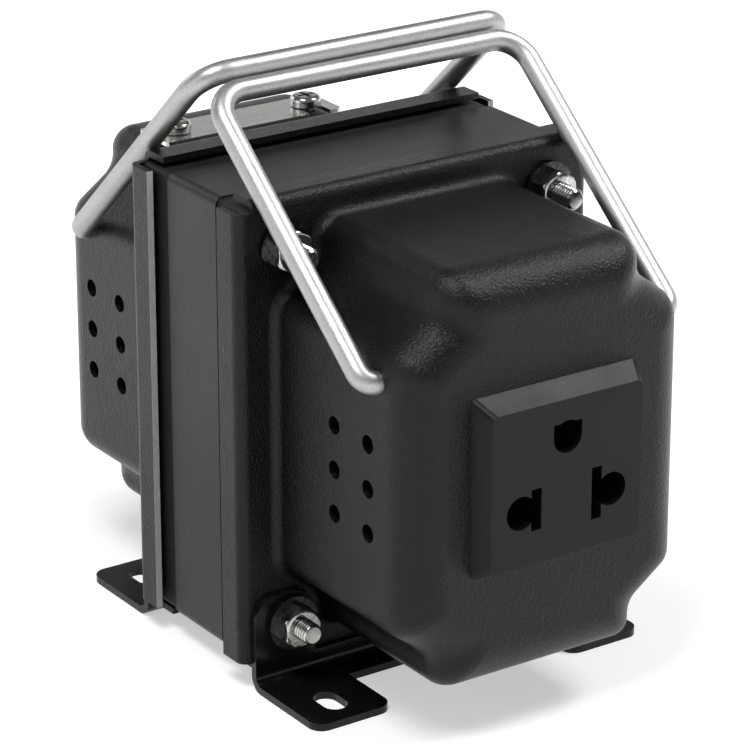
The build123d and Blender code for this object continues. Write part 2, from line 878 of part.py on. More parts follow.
def fuse_cap():
    """The turning cap, with a coin slot and a stem that grips the fuse."""
    z = rear_fitting_level
    base = fuse_face + clearance
    top = base + fuse_cap_height
    knob = round_bar_y(fuse_x, z, fuse_cap_radius, base, top)
    knob = fillet(edges_at_y(knob, top, bell_width), fuse_cap_round)
    half, reach = coin_slot_width / 2, 2 * fuse_cap_radius
    knob -= block(fuse_x - reach, fuse_x + reach, top - coin_slot_depth, top + overrun, z - half, z + half)
    body = knob + round_bar_y(fuse_x, z, fuse_stem_radius, stem_tip, base)
    return body - round_bar_y(fuse_x, z, fuse_radius + running_fit, stem_tip - overrun, fuse_end)


def fuse():
    """The glass fuse, seated in the cap's stem."""
    return round_bar_y(fuse_x, rear_fitting_level, fuse_radius, fuse_start, fuse_end)


def fuse_terminal():
    """The holder's end terminal: a strip up the back of the barrel."""
    half = fuse_tag_width / 2
    z = rear_fitting_level
    return block(
        fuse_x - half, fuse_x + half, fuse_back - fuse_tag_sheet, fuse_back, z - half, z + fuse_tag_rise
    )


def cord_grommet():
    """The rubber grommet in the cord hole."""
    z = rear_fitting_level
    inside = rear_end - cover_sheet
    outer = round_bar_y(-fuse_x, z, grommet_radius, rear_end, rear_end + grommet_lip)
    outer = fillet(edges_at_y(outer, rear_end + grommet_lip, bell_width), grommet_round)
    inner_radius = grommet_radius - grommet_round / 2
    inner = round_bar_y(-fuse_x, z, inner_radius, inside - grommet_inner_lip, inside)
    waist = round_bar_y(-fuse_x, z, grommet_waist_radius, inside, rear_end)
    bore_end = rear_end + 2 * grommet_lip
    bore = round_bar_y(-fuse_x, z, grommet_bore_radius, inside - 2 * grommet_inner_lip, bore_end)
    return outer + inner + waist - bore


# Leads

def lead(name, points):
    """A lead through some points, each bend as wide as its runs allow."""
    corners = [Vector(*point) for point in points]
    radii = []
    for before, here, after in zip(corners, corners[1:], corners[2:]):
        turn = math.radians((here - before).get_angle(after - here))
        shorter = min((here - before).length, (after - here).length)
        radii.append(bend_share * shorter / math.tan(turn / 2))
    path = FilletPolyline(*corners, radius=radii)
    start = Plane(origin=path @ 0, z_dir=path % 0)
    tube = sweep(start * Circle(lead_radius), path=path)
    print(name, "bend radii", [round(radius, 1) for radius in radii])
    return tube


tag_x = coil_end + coil_tag_sheet / 2
tag_tip = flange_y + coil_tag_reach
upper_tag = core_level + coil_tag_pitch
tail_tip = socket_back - tail_reach
selector_tip = selector_floor - tag_reach


def socket_lead(side):
    """From a front tag of the coil to a line contact's tail."""
    x = side * line_middle
    return lead("socket lead", [
        (side * tag_x, -tag_tip, upper_tag),
        (side * tag_x, -tag_tip - lead_run, upper_tag),
        (x, -tail_tip + lead_run, blade_level),
        (x, -tail_tip, blade_level),
    ])


def selector_lead(side):
    """From a rear tag of the coil to the selector."""
    x = side * tag_spacing
    run_end = tag_tip + lead_run
    low = selector_tip - lead_rise
    middle = ((side * tag_x + x) / 2, (run_end + selector_y) / 2, (upper_tag + low) / 2 - lead_sag)
    return lead("selector lead", [
        (side * tag_x, tag_tip, upper_tag),
        (side * tag_x, run_end, upper_tag),
        middle,
        (x, selector_y, low),
        (x, selector_y, selector_tip),
    ])


def fuse_lead():
    """From the fuse holder's terminal to the selector."""
    y = fuse_back - fuse_tag_sheet / 2
    z = rear_fitting_level + fuse_tag_rise
    return lead("fuse lead", [
        (fuse_x, y, z),
        (fuse_x, y, z + lead_rise),
        (0, selector_y, selector_tip - lead_rise),
        (0, selector_y, selector_tip),
    ])


os.makedirs("parts", exist_ok=True)

save("core_e_laminations", core_e_laminations())
save("core_i_laminations", core_i_laminations())
save("core_band", core_band())
save("front_cover", front_cover())
save("rear_cover", rear_cover())
save("through_bolts", *[bolt(*place) for place in bolt_places()])
save("bolt_nuts", *[nut(*place) for place in bolt_places()])
washers = [washer(*place) for place in bolt_places()]
save("bolt_washers", *washers, *[front(piece) for piece in washers])
save("front_foot_rail", front(foot_rail()))
save("rear_foot_rail", foot_rail())
save("front_handle", front(handle(front_pivot)))
save("rear_handle", handle(rear_pivot))
save("socket_face", socket_face())
save("socket_housing", socket_housing())
save("left_line_contact", line_contact(-1))
save("right_line_contact", line_contact(1))
save("ground_contact", ground_contact())
save("selector_body", selector_body())
save("selector_slider", selector_slider())
save("selector_tags", *selector_tags())
save("guard_plate", guard_plate())
save("guard_screws", guard_screw(-1), guard_screw(1))
save("bobbin", bobbin())
save("primary_winding", coil_tube(primary_start, film_start, winding_half))
save("interlayer_film", coil_tube(film_start, secondary_start, winding_half))
save("secondary_winding", coil_tube(secondary_start, tape_start, winding_half))
save("winding_tape", coil_tube(tape_start, coil_surface, winding_half))
save("thermal_cutout", thermal_cutout())
save("front_coil_tags", *coil_tags(-1))
save("rear_coil_tags", *coil_tags(1))
save("fuse_holder_body", fuse_holder_body())
save("fuse_holder_nut", fuse_holder_nut())
save("fuse_terminal", fuse_terminal())
save("fuse", fuse())
save("fuse_cap", fuse_cap())
save("cord_grommet", cord_grommet())
save("left_socket_lead", socket_lead(-1))
save("right_socket_lead", socket_lead(1))
save("left_selector_lead", selector_lead(-1))
save("right_selector_lead", selector_lead(1))
save("fuse_lead", fuse_lead())
for name, pivot in (("front", front_pivot), ("rear", rear_pivot)):
    print(name, "handle leans at", round(math.degrees(rest_lean(pivot)), 2))
print("shift", shift)
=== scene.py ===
import json
import math
import bmesh
import bpy
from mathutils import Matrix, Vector


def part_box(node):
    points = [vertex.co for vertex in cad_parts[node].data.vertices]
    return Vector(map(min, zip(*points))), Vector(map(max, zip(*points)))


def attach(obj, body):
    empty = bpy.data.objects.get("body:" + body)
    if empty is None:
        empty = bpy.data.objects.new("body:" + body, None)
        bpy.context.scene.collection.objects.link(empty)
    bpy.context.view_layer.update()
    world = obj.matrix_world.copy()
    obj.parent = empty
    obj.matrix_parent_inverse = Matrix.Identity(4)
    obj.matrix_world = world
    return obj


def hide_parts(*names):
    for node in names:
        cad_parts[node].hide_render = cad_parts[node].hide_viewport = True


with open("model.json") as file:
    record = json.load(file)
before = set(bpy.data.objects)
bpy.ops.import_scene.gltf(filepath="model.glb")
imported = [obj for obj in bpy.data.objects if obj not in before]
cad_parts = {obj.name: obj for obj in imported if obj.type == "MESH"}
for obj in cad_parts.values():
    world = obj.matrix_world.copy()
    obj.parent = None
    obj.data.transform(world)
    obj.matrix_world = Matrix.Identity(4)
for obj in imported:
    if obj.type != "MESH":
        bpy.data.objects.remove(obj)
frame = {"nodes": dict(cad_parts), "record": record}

# Lengths are in metres. x runs to the right as the socket is faced, y from the socket to the back.

nodes = frame["nodes"]
scene = bpy.context.scene
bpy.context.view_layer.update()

# Camera, at the photograph's angle
photo_width_px = 744
focal_length_px = 3678.9
sensor_width_mm = 36.0
camera_azimuth = math.radians(34.27)
camera_elevation = math.radians(21.58)
camera_distance = 0.67004
camera_target = Vector((0.00242, -0.002, 0.04637))
nearest_seen = 0.01
farthest_seen = 20

# Lamps: energy in watts, sides in metres, all aimed at one point
lamps = {
    "upper right light": {"place": (0.5, -0.2, 0.7), "sides": (0.36, 0.26), "energy": 5.0},
    "upper left light": {"place": (-0.32, -0.16, 0.8), "sides": (0.32, 0.26), "energy": 5.2},
    "left light": {"place": (-0.75, 0.1, 0.35), "sides": (0.4, 0.4), "energy": 0.6},
    "back light": {"place": (-0.2, 0.85, 0.45), "sides": (0.5, 0.3), "energy": 1.0},
}
light_target = Vector((0, 0, 0.05))

# The surroundings are white round the horizon and darker overhead, by the height of a direction
surroundings_strength = 0.22
overhead_shade = 0.16
white_up_to = 0.15
shaded_from = 0.4

# The floor glows where it is seen, and more between the two distances from the object
floor_side = 12.0
floor_colour = (0.6, 0.6, 0.6)
floor_roughness = 0.9
near_glow = 0.5
far_glow = 0.9
near_floor = 0.1
far_floor = 0.32

# Through bolts' threads
thread_pitch = 0.0007
thread_depth = 0.0003
thread_bevel = 0.0005
thread_around = 33
thread_rings_per_turn = 8
thread_inside_nut = 0.0012
rings_at_ends = 2

# A unit grid's reach from its middle, and the share along it that only its last ring is past
grid_half = 0.5
last_ring_share = 0.9999

# Joining of a CAD copy's triangles, and the angle past which an edge stays sharp
join_distance = 0.000001
sharp_angle = math.radians(32)

# Bare steel, its light grey also a painted highlight, shows this close to the plane of a cut edge, and this
# far in from the cover's sides
cut_edge_reach = 0.00005
side_flap_reach = 0.002

# Gloss of a clear coat over a finish
coat_roughness = 0.12

# Surface grain, and the pitch of stacked sheets and of wound wire
powder_grain = 0.00044
plastic_grain = 0.00035
wide_to_fine = 0.18
lamination_pitch = 0.0005
wire_pitch = 0.0006

# Shares of a pitch: half of it, the rise of a ridge and the dark of its groove, which on wound wire is
# painted shade
half_turn = 0.5
ridge_flank = 0.25
groove_flank = 0.12


def make_camera():
    """The camera, aimed from the photograph's azimuth and elevation."""
    data = bpy.data.cameras.new("camera")
    data.sensor_width = sensor_width_mm
    data.lens = focal_length_px / photo_width_px * sensor_width_mm
    data.clip_start = nearest_seen
    data.clip_end = farthest_seen
    flat = math.cos(camera_elevation)
    towards = Vector((
        -flat * math.sin(camera_azimuth), -flat * math.cos(camera_azimuth), math.sin(camera_elevation)
    ))
    camera = bpy.data.objects.new("camera", data)
    camera.location = camera_target + camera_distance * towards
    camera.rotation_euler = (-towards).to_track_quat("-Z", "Y").to_euler()
    scene.collection.objects.link(camera)
    scene.camera = camera


make_camera()


# Shader node helpers

value_kind = "NodeSocketFloat"
vector_kind = "NodeSocketVector"


def link(tree, source, target):
    tree.links.new(source, target)


def math_node(tree, operation, first, second=None):
    """A math node; each input is a number or a socket."""
    node = tree.nodes.new("ShaderNodeMath")
    node.operation = operation
    for socket, value in zip(node.inputs, (first, second)):
        if value is None:
            continue
        if isinstance(value, (int, float)):
            socket.default_value = value
        else:
            link(tree, value, socket)
    return node.outputs[0]


def range_node(tree, value, low, high, from_low=0.0, from_high=1.0):
    """Maps a value to a range, each limit a number or a socket."""
    node = tree.nodes.new("ShaderNodeMapRange")
    link(tree, value, node.inputs["Value"])
    limits = {"From Min": from_low, "From Max": from_high, "To Min": low, "To Max": high}
    for name, limit in limits.items():
        if isinstance(limit, (int, float)):
            node.inputs[name].default_value = limit
        else:
            link(tree, limit, node.inputs[name])
    return node.outputs["Result"]


def noise_node(tree, vector, scale, detail=2.0, roughness=0.5):
    """A noise texture whose scale is a number or a socket."""
    node = tree.nodes.new("ShaderNodeTexNoise")
    link(tree, vector, node.inputs["Vector"])
    if isinstance(scale, (int, float)):
        node.inputs["Scale"].default_value = scale
    else:
        link(tree, scale, node.inputs["Scale"])
    node.inputs["Detail"].default_value = detail
    node.inputs["Roughness"].default_value = roughness
    return node.outputs["Fac"]


def new_group(name, inputs, outputs):
    """An empty shader node group; its sockets' kinds are given by their names."""
    group = bpy.data.node_groups.new(name, "ShaderNodeTree")
    for direction, sockets in (("INPUT", inputs), ("OUTPUT", outputs)):
        for label, kind in sockets.items():
            group.interface.new_socket(label, in_out=direction, socket_type=kind)
    return group, group.nodes.new("NodeGroupInput").outputs, group.nodes.new("NodeGroupOutput").inputs


def grain_group():
    """Fine bumps of one size with a softer, wider unevenness under them."""
    inputs = {"Vector": vector_kind, "Grain Size": value_kind, "Waviness": value_kind}
    group, given, result = new_group("grain", inputs, {"Height": value_kind, "Mask": value_kind})
    scale = math_node(group, "DIVIDE", 1.0, given["Grain Size"])
    fine = noise_node(group, given["Vector"], scale, detail=3.0, roughness=0.6)
    wide_scale = math_node(group, "MULTIPLY", scale, wide_to_fine)
    wide = noise_node(group, given["Vector"], wide_scale)
    added = math_node(group, "ADD", fine, math_node(group, "MULTIPLY", wide, given["Waviness"]))
    link(group, added, result["Height"])
    link(group, range_node(group, fine, 0.0, 1.0, from_low=0.35, from_high=0.7), result["Mask"])
    return group


def uneven_group():
    """A value that drifts between two limits in patches, as from handling."""
    inputs = {"Vector": vector_kind, "Patch Size": value_kind, "Low": value_kind, "High": value_kind}
    group, given, result = new_group("uneven gloss", inputs, {"Value": value_kind})
    scale = math_node(group, "DIVIDE", 1.0, given["Patch Size"])
    patches = noise_node(group, given["Vector"], scale, detail=4.0, roughness=0.65)
    drift = range_node(group, patches, given["Low"], given["High"], from_low=0.3, from_high=0.7)
    link(group, drift, result["Value"])
    return group


def stripes_group():
    """Even ridges across one axis, such as stacked sheets or wound wire."""
    inputs = {"Place": value_kind, "Pitch": value_kind}
    group, given, result = new_group("stripes", inputs, {"Height": value_kind, "Groove": value_kind})
    turn = math_node(group, "DIVIDE", given["Place"], given["Pitch"])
    wave = math_node(group, "PINGPONG", turn, half_turn)
    link(group, range_node(group, wave, 0.0, 1.0, from_high=ridge_flank), result["Height"])
    # The groove mask darkens the low lines: dark joints between stacked sheets, painted shade between wound
    # turns.
    link(group, range_node(group, wave, 1.0, 0.0, from_high=groove_flank), result["Groove"])
    return group


def drawn_lines_group():
    """Fine lines that a stretch below 1 on one axis draws out along it."""
    inputs = {"Vector": vector_kind, "Stretch": vector_kind, "Line Size": value_kind}
    group, given, result = new_group("drawn lines", inputs, {"Height": value_kind, "Mask": value_kind})
    scaled = group.nodes.new("ShaderNodeVectorMath")
    scaled.operation = "MULTIPLY"
    link(group, given["Vector"], scaled.inputs[0])
    link(group, given["Stretch"], scaled.inputs[1])
    scale = math_node(group, "DIVIDE", 1.0, given["Line Size"])
    lines = noise_node(group, scaled.outputs[0], scale, detail=3.0, roughness=0.7)
    link(group, lines, result["Height"])
    link(group, range_node(group, lines, 0.0, 1.0, from_low=0.4, from_high=0.65), result["Mask"])
    return group


grain = grain_group()
uneven = uneven_group()
stripes = stripes_group()
drawn_lines = drawn_lines_group()


class Finish:
    """A material with its shader, its object coordinates and the links between them."""

    def __init__(self, name, metallic=0.0, coat=0.0, specular=0.5):
        self.material = bpy.data.materials.new(name)
        self.material.use_nodes = True
        self.tree = self.material.node_tree
        self.shader = self.tree.nodes["Principled BSDF"]
        self.coords = self.tree.nodes.new("ShaderNodeTexCoord").outputs["Object"]
        self.parts = self.tree.nodes.new("ShaderNodeSeparateXYZ")
        link(self.tree, self.coords, self.parts.inputs[0])
        self.plain(metallic=metallic, coat_weight=coat, coat_roughness=coat_roughness)
        self.shader.inputs["Specular IOR Level"].default_value = specular

    def plain(self, **values):
        """Sets shader sockets, named in lower case, to values that are the same all over."""
        for label, value in values.items():
            self.shader.inputs[label.replace("_", " ").title()].default_value = value

    def group(self, tree, **values):
        """Places a group; values are numbers, vectors or sockets, named in lower case."""
        node = self.tree.nodes.new("ShaderNodeGroup")
        node.node_tree = tree
        for socket in node.inputs:
            value = values.get(socket.name.lower().replace(" ", "_"))
            if value is None and socket.name == "Vector":
                value = self.coords
            if isinstance(value, bpy.types.NodeSocket):
                link(self.tree, value, socket)
            elif value is not None:
                socket.default_value = value
        return node.outputs

    def colours(self, mask, first, second):
        """Base colour between two by a mask; each is a tuple or a socket."""
        mix = self.tree.nodes.new("ShaderNodeMix")
        mix.data_type = "RGBA"
        link(self.tree, mask, mix.inputs[0])
        given = [socket for socket in mix.inputs if socket.type == "RGBA"]
        for socket, colour in zip(given, (first, second)):
            if isinstance(colour, tuple):
                socket.default_value = (*colour, 1.0)
            else:
                link(self.tree, colour, socket)
        mixed = [socket for socket in mix.outputs if socket.type == "RGBA"][0]
        link(self.tree, mixed, self.shader.inputs["Base Color"])
        return mixed

    def near_plane(self, axis, level, reach):
        """1 within a reach of a level on one axis, and 0 elsewhere."""
        away = math_node(self.tree, "SUBTRACT", self.parts.outputs[axis], level)
        return math_node(self.tree, "LESS_THAN", math_node(self.tree, "ABSOLUTE", away), reach)

    def attribute(self, name):
        """A value kept on the piece's own mesh."""
        node = self.tree.nodes.new("ShaderNodeAttribute")
        node.attribute_name = name
        return node.outputs["Fac"]

    def rough(self, patch_size, low, high):
        """Roughness that drifts between two limits."""
        gloss = self.group(uneven, patch_size=patch_size, low=low, high=high)
        link(self.tree, gloss["Value"], self.shader.inputs["Roughness"])

    def bump(self, height, depth, strength=1.0):
        """Relief of a depth in metres."""
        node = self.tree.nodes.new("ShaderNodeBump")
        node.inputs["Strength"].default_value = strength
        node.inputs["Distance"].default_value = depth
        link(self.tree, height, node.inputs["Height"])
        link(self.tree, node.outputs["Normal"], self.shader.inputs["Normal"])


# Finishes, one for each slot

def painted_cover():
    """Textured black powder coat, with bare steel on the cut edges of the rear cover's side flaps, their
    light grey also a painted highlight.
    """
    paint = Finish("painted_cover", specular=0.24)
    relief = paint.group(grain, grain_size=powder_grain, waviness=0.5)
    coated = paint.colours(relief["Mask"], (0.002, 0.002, 0.0021), (0.006, 0.006, 0.0061))
    low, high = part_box("rear_cover")
    # The side flaps' cut edges are bare steel whose light grey is also a painted highlight along them.
    cut = paint.near_plane("Y", low.y, cut_edge_reach)
    aside = math_node(paint.tree, "ABSOLUTE", paint.parts.outputs["X"])
    outer = math_node(paint.tree, "GREATER_THAN", aside, high.x - side_flap_reach)
    bare_edge_highlight = math_node(paint.tree, "MULTIPLY", cut, outer)
    paint.colours(bare_edge_highlight, coated, (0.5, 0.49, 0.47))
    paint.rough(patch_size=0.03, low=0.26, high=0.34)
    paint.bump(relief["Height"], 0.00019)
    return paint.material


def painted_foot():
    """Smooth gloss black enamel."""
    paint = Finish("painted_foot", coat=0.15, specular=0.2)
    relief = paint.group(grain, grain_size=0.0016, waviness=0.6)
    paint.colours(relief["Mask"], (0.003, 0.003, 0.0032), (0.006, 0.006, 0.0063))
    paint.rough(patch_size=0.012, low=0.2, high=0.34)
    paint.bump(relief["Height"], 0.00004, strength=0.6)
    return paint.material


def varnished_core():
    """Stacked sheet edges under black varnish."""
    steel = Finish("varnished_core", specular=0.2)
    sheets = steel.group(stripes, place=steel.parts.outputs["Y"], pitch=lamination_pitch)
    steel.colours(sheets["Groove"], (0.01, 0.01, 0.0105), (0.002, 0.002, 0.002))
    steel.rough(patch_size=0.006, low=0.45, high=0.65)
    steel.bump(sheets["Height"], 0.00008)
    return steel.material


def core_band_steel():
    """Smooth dark satin sheet, drawn along its length."""
    band = Finish("core_band_steel", specular=0.25)
    lines = band.group(drawn_lines, stretch=(0.15, 1.0, 0.15), line_size=0.0006)
    band.colours(lines["Mask"], (0.014, 0.013, 0.0122), (0.022, 0.0205, 0.0195))
    band.rough(patch_size=0.03, low=0.3, high=0.42)
    band.bump(lines["Height"], 0.00002, strength=0.5)
    return band.material


def handle_nickel():
    """Satin plated rod with faint drawing marks."""
    rod = Finish("handle_nickel", metallic=1.0)
    relief = rod.group(grain, grain_size=0.0004, waviness=0.8)
    rod.colours(relief["Mask"], (0.39, 0.39, 0.385), (0.48, 0.48, 0.475))
    rod.rough(patch_size=0.008, low=0.38, high=0.5)
    rod.bump(relief["Height"], 0.00003, strength=0.7)
    return rod.material


def bright_nickel():
    """Bright plate on bolt heads, nuts and screws."""
    plate = Finish("bright_nickel", metallic=1.0)
    lines = plate.group(drawn_lines, stretch=(1.0, 0.4, 1.0), line_size=0.0005)
    plate.colours(lines["Mask"], (0.34, 0.335, 0.32), (0.62, 0.61, 0.585))
    plate.rough(patch_size=0.002, low=0.1, high=0.24)
    plate.bump(lines["Height"], 0.00003, strength=0.6)
    return plate.material


def thread_nickel():
    """The same plate on the bolts' threads, with painted shade at the bottom of the groove."""
    plate = Finish("thread_nickel", metallic=1.0)
    # Painted shade: the stored groove depth darkens the plate towards the groove's bottom.
    plate.colours(plate.attribute("groove"), (0.72, 0.71, 0.68), (0.05, 0.048, 0.044))
    plate.rough(patch_size=0.001, low=0.14, high=0.3)
    return plate.material


def dark_washer():
    """Dark plated washers, mottled between two darks."""
    plate = Finish("dark_washer", metallic=1.0)
    lines = plate.group(drawn_lines, stretch=(1.0, 1.0, 1.0), line_size=0.0012)
    plate.colours(lines["Mask"], (0.035, 0.035, 0.035), (0.09, 0.09, 0.09))
    plate.rough(patch_size=0.003, low=0.2, high=0.34)
    return plate.material


def guard_nickel():
    """Bright flat plate, finely drawn along its length."""
    plate = Finish("guard_nickel", metallic=1.0)
    lines = plate.group(drawn_lines, stretch=(0.08, 1.0, 1.0), line_size=0.0004)
    plate.colours(lines["Mask"], (0.6, 0.59, 0.57), (0.78, 0.77, 0.75))
    plate.rough(patch_size=0.01, low=0.16, high=0.3)
    plate.bump(lines["Height"], 0.00002, strength=0.5)
    return plate.material


def moulded_plastic(name, colour, lighter, low, high, specular=0.4):
    """Moulded plastic with a faint spark-eroded texture, its roughness between two limits."""
    plastic = Finish(name, specular=specular)
    relief = plastic.group(grain, grain_size=plastic_grain, waviness=0.5)
    plastic.colours(relief["Mask"], colour, lighter)
    plastic.rough(patch_size=0.01, low=low, high=high)
    plastic.bump(relief["Height"], 0.00003, strength=0.6)
    return plastic.material


def contact_brass():
    """Rolled brass, slightly tarnished."""
    brass = Finish("contact_brass", metallic=1.0)
    tarnish = brass.group(uneven, patch_size=0.004, low=0.0, high=1.0)
    brass.colours(tarnish["Value"], (0.68, 0.48, 0.2), (0.42, 0.28, 0.12))
    brass.rough(patch_size=0.003, low=0.2, high=0.42)
    return brass.material


def enamelled_wire():
    """Wound copper under enamel, its turns side by side along the coil, with painted shade in the grooves
    between them.
    """
    wire = Finish("enamelled_wire", coat=0.4)
    turns = wire.group(stripes, place=wire.parts.outputs["X"], pitch=wire_pitch)
    # Painted shade: the grooves between turns are coloured dark.
    wire.colours(turns["Groove"], (0.42, 0.15, 0.05), (0.1, 0.03, 0.01))
    wire.rough(patch_size=0.004, low=0.25, high=0.4)
    wire.bump(turns["Height"], 0.0002)
    return wire.material


def insulating_film():
    """Amber film over the coil."""
    film = Finish("insulating_film", coat=0.5)
    folds = film.group(grain, grain_size=0.003, waviness=1.0)
    film.colours(folds["Mask"], (0.48, 0.3, 0.05), (0.6, 0.42, 0.09))
    film.plain(roughness=0.25)
    film.bump(folds["Height"], 0.0001)
    return film.material


def fuse_glass():
    """Clear glass."""
    glass = Finish("fuse_glass")
    glass.plain(base_color=(0.95, 0.97, 0.98, 1.0), roughness=0.04, transmission_weight=0.9)
    return glass.material


finishes = {
    "cover_paint": painted_cover(),
    "foot_paint": painted_foot(),
    "core_steel": varnished_core(),
    "band_steel": core_band_steel(),
    "handle_steel": handle_nickel(),
    "bright_fasteners": bright_nickel(),
    "washer_steel": dark_washer(),
    "guard_nickel": guard_nickel(),
    "socket_plastic": moulded_plastic(
        "socket_plastic", (0.003, 0.003, 0.003), (0.006, 0.006, 0.006), 0.32, 0.42, specular=0.2
    ),
    "inner_plastic": moulded_plastic("inner_plastic", (0.02, 0.02, 0.02), (0.03, 0.03, 0.03), 0.45, 0.6),
    "knob_plastic": moulded_plastic("knob_plastic", (0.4, 0.02, 0.015), (0.5, 0.03, 0.02), 0.35, 0.5),
    "contact_brass": contact_brass(),
    "winding_enamel": enamelled_wire(),
    "insulating_film": insulating_film(),
    "cutout_case": moulded_plastic("cutout_case", (0.55, 0.52, 0.45), (0.62, 0.6, 0.53), 0.4, 0.5),
    "fuse_glass": fuse_glass(),
    "grommet_rubber": moulded_plastic(
        "grommet_rubber", (0.008, 0.008, 0.008), (0.013, 0.013, 0.013), 0.5, 0.65
    ),
    "lead_insulation": moulded_plastic("lead_insulation", (0.35, 0.02, 0.015), (0.4, 0.03, 0.02), 0.3, 0.4),
}


def dress_nodes():
    """Gives every CAD node the finish of its slot."""
    for subpart in frame["record"]["subparts"]:
        for slot in nodes[subpart["node"]].material_slots:
            slot.material = finishes[subpart["material_slot"]]


dress_nodes()


# Copies of CAD meshes

def merged_copy(node_name):
    """A CAD node's mesh as a bmesh of its own, its triangles joined into one surface."""
    shape = bmesh.new()
    shape.from_mesh(nodes[node_name].data)
    bmesh.ops.remove_doubles(shape, verts=shape.verts, dist=join_distance)
    return shape


def close_holes(shape):
    """Closes every open edge loop."""
    bmesh.ops.holes_fill(shape, edges=[edge for edge in shape.edges if edge.is_boundary])


def add_piece(name, mesh, slot, body, replaced=None):
    """Puts a mesh on a body with its slot's finish, in place of a CAD node if one is named."""
    mesh.shade_smooth()
    mesh.set_sharp_from_angle(angle=sharp_angle)
    if not mesh.materials:
        mesh.materials.append(finishes[slot])
    piece = bpy.data.objects.new(name, mesh)
    scene.collection.objects.link(piece)
    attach(piece, body)
    if replaced:
        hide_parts(replaced)


def mesh_from(name, shape):
    """A mesh from a bmesh, its faces turned outwards."""
    bmesh.ops.recalc_face_normals(shape, faces=shape.faces)
    mesh = bpy.data.meshes.new(name)
    shape.to_mesh(mesh)
    shape.free()
    return mesh


# Threaded bolts

def thread_tree(material):
    """A helical thread with a bevelled, closed tip, set on each point of a mesh and pointing along -y."""
    tree = bpy.data.node_groups.new("thread", "GeometryNodeTree")
    tree.interface.new_socket("Points", in_out="INPUT", socket_type="NodeSocketGeometry")
    for label in ("Radius", "Depth", "Pitch", "Length", "Span", "Bevel"):
        tree.interface.new_socket(label, in_out="INPUT", socket_type=value_kind)
    for label in ("Around", "Rings"):
        tree.interface.new_socket(label, in_out="INPUT", socket_type="NodeSocketInt")
    tree.interface.new_socket("Bolts", in_out="OUTPUT", socket_type="NodeSocketGeometry")
    given = tree.nodes.new("NodeGroupInput").outputs
    result = tree.nodes.new("NodeGroupOutput").inputs

    grid = tree.nodes.new("GeometryNodeMeshGrid")
    link(tree, given["Around"], grid.inputs["Vertices X"])
    link(tree, given["Rings"], grid.inputs["Vertices Y"])
    place = tree.nodes.new("GeometryNodeInputPosition")
    parts = tree.nodes.new("ShaderNodeSeparateXYZ")
    link(tree, place.outputs[0], parts.inputs[0])
    turn = math_node(tree, "ADD", parts.outputs["X"], grid_half)
    share = math_node(tree, "ADD", parts.outputs["Y"], grid_half)

    # Each ring climbs one pitch round the bolt, and both ends are held square.
    climbed = math_node(tree, "MULTIPLY", share, given["Span"])
    slanted = math_node(tree, "SUBTRACT", climbed, math_node(tree, "MULTIPLY", turn, given["Pitch"]))
    along = math_node(tree, "MINIMUM", math_node(tree, "MAXIMUM", slanted, 0.0), given["Length"])

    # The groove starts past the root end, the bevel narrows the tip, and the last ring closes it.
    turns = math_node(tree, "DIVIDE", climbed, given["Pitch"])
    wave = math_node(tree, "DIVIDE", math_node(tree, "PINGPONG", turns, half_turn), half_turn)
    groove = math_node(tree, "MULTIPLY", wave, given["Depth"])
    cut = math_node(tree, "MULTIPLY", groove, math_node(tree, "GREATER_THAN", along, join_distance))
    left = math_node(tree, "SUBTRACT", given["Length"], along)
    bevel = math_node(tree, "SUBTRACT", given["Bevel"], left)
    radius = math_node(tree, "SUBTRACT", given["Radius"], math_node(tree, "MAXIMUM", cut, bevel))
    closed = math_node(tree, "MULTIPLY", radius, math_node(tree, "LESS_THAN", share, last_ring_share))

    angle = math_node(tree, "MULTIPLY", turn, math.tau)
    ring = tree.nodes.new("ShaderNodeCombineXYZ")
    link(tree, math_node(tree, "MULTIPLY", closed, math_node(tree, "COSINE", angle)), ring.inputs["X"])
    link(tree, math_node(tree, "MULTIPLY", along, -1.0), ring.inputs["Y"])
    link(tree, math_node(tree, "MULTIPLY", closed, math_node(tree, "SINE", angle)), ring.inputs["Z"])
    # The groove depth is kept on the mesh for the painted shade in the thread's groove.
    keep = tree.nodes.new("GeometryNodeStoreNamedAttribute")
    keep.inputs["Name"].default_value = "groove"
    link(tree, grid.outputs["Mesh"], keep.inputs["Geometry"])
    link(tree, wave, keep.inputs["Value"])
    bend = tree.nodes.new("GeometryNodeSetPosition")
    link(tree, keep.outputs["Geometry"], bend.inputs["Geometry"])
    link(tree, ring.outputs[0], bend.inputs["Position"])
    weld = tree.nodes.new("GeometryNodeMergeByDistance")
    weld.inputs["Distance"].default_value = join_distance
    link(tree, bend.outputs[0], weld.inputs["Geometry"])

    spread = tree.nodes.new("GeometryNodeInstanceOnPoints")
    link(tree, given["Points"], spread.inputs["Points"])
    link(tree, weld.outputs[0], spread.inputs["Instance"])
    real = tree.nodes.new("GeometryNodeRealizeInstances")
    link(tree, spread.outputs[0], real.inputs["Geometry"])
    dress = tree.nodes.new("GeometryNodeSetMaterial")
    dress.inputs["Material"].default_value = material
    link(tree, real.outputs[0], dress.inputs["Geometry"])
    link(tree, dress.outputs[0], result["Bolts"])
    return tree


def run_tree(name, points, tree, values):
    """Runs a geometry tree over some points and returns the plain mesh."""
    mesh = bpy.data.meshes.new(name)
    mesh.from_pydata(points, [], [])
    carrier = bpy.data.objects.new(name, mesh)
    scene.collection.objects.link(carrier)
    modifier = carrier.modifiers.new(name, "NODES")
    modifier.node_group = tree
    for item in tree.interface.items_tree:
        if item.item_type == "SOCKET" and item.in_out == "INPUT" and item.name in values:
            modifier[item.identifier] = values[item.name]
    bpy.context.view_layer.update()
    evaluated = carrier.evaluated_get(bpy.context.evaluated_depsgraph_get())
    made = bpy.data.meshes.new_from_object(evaluated)
    bpy.data.objects.remove(carrier)
    return made


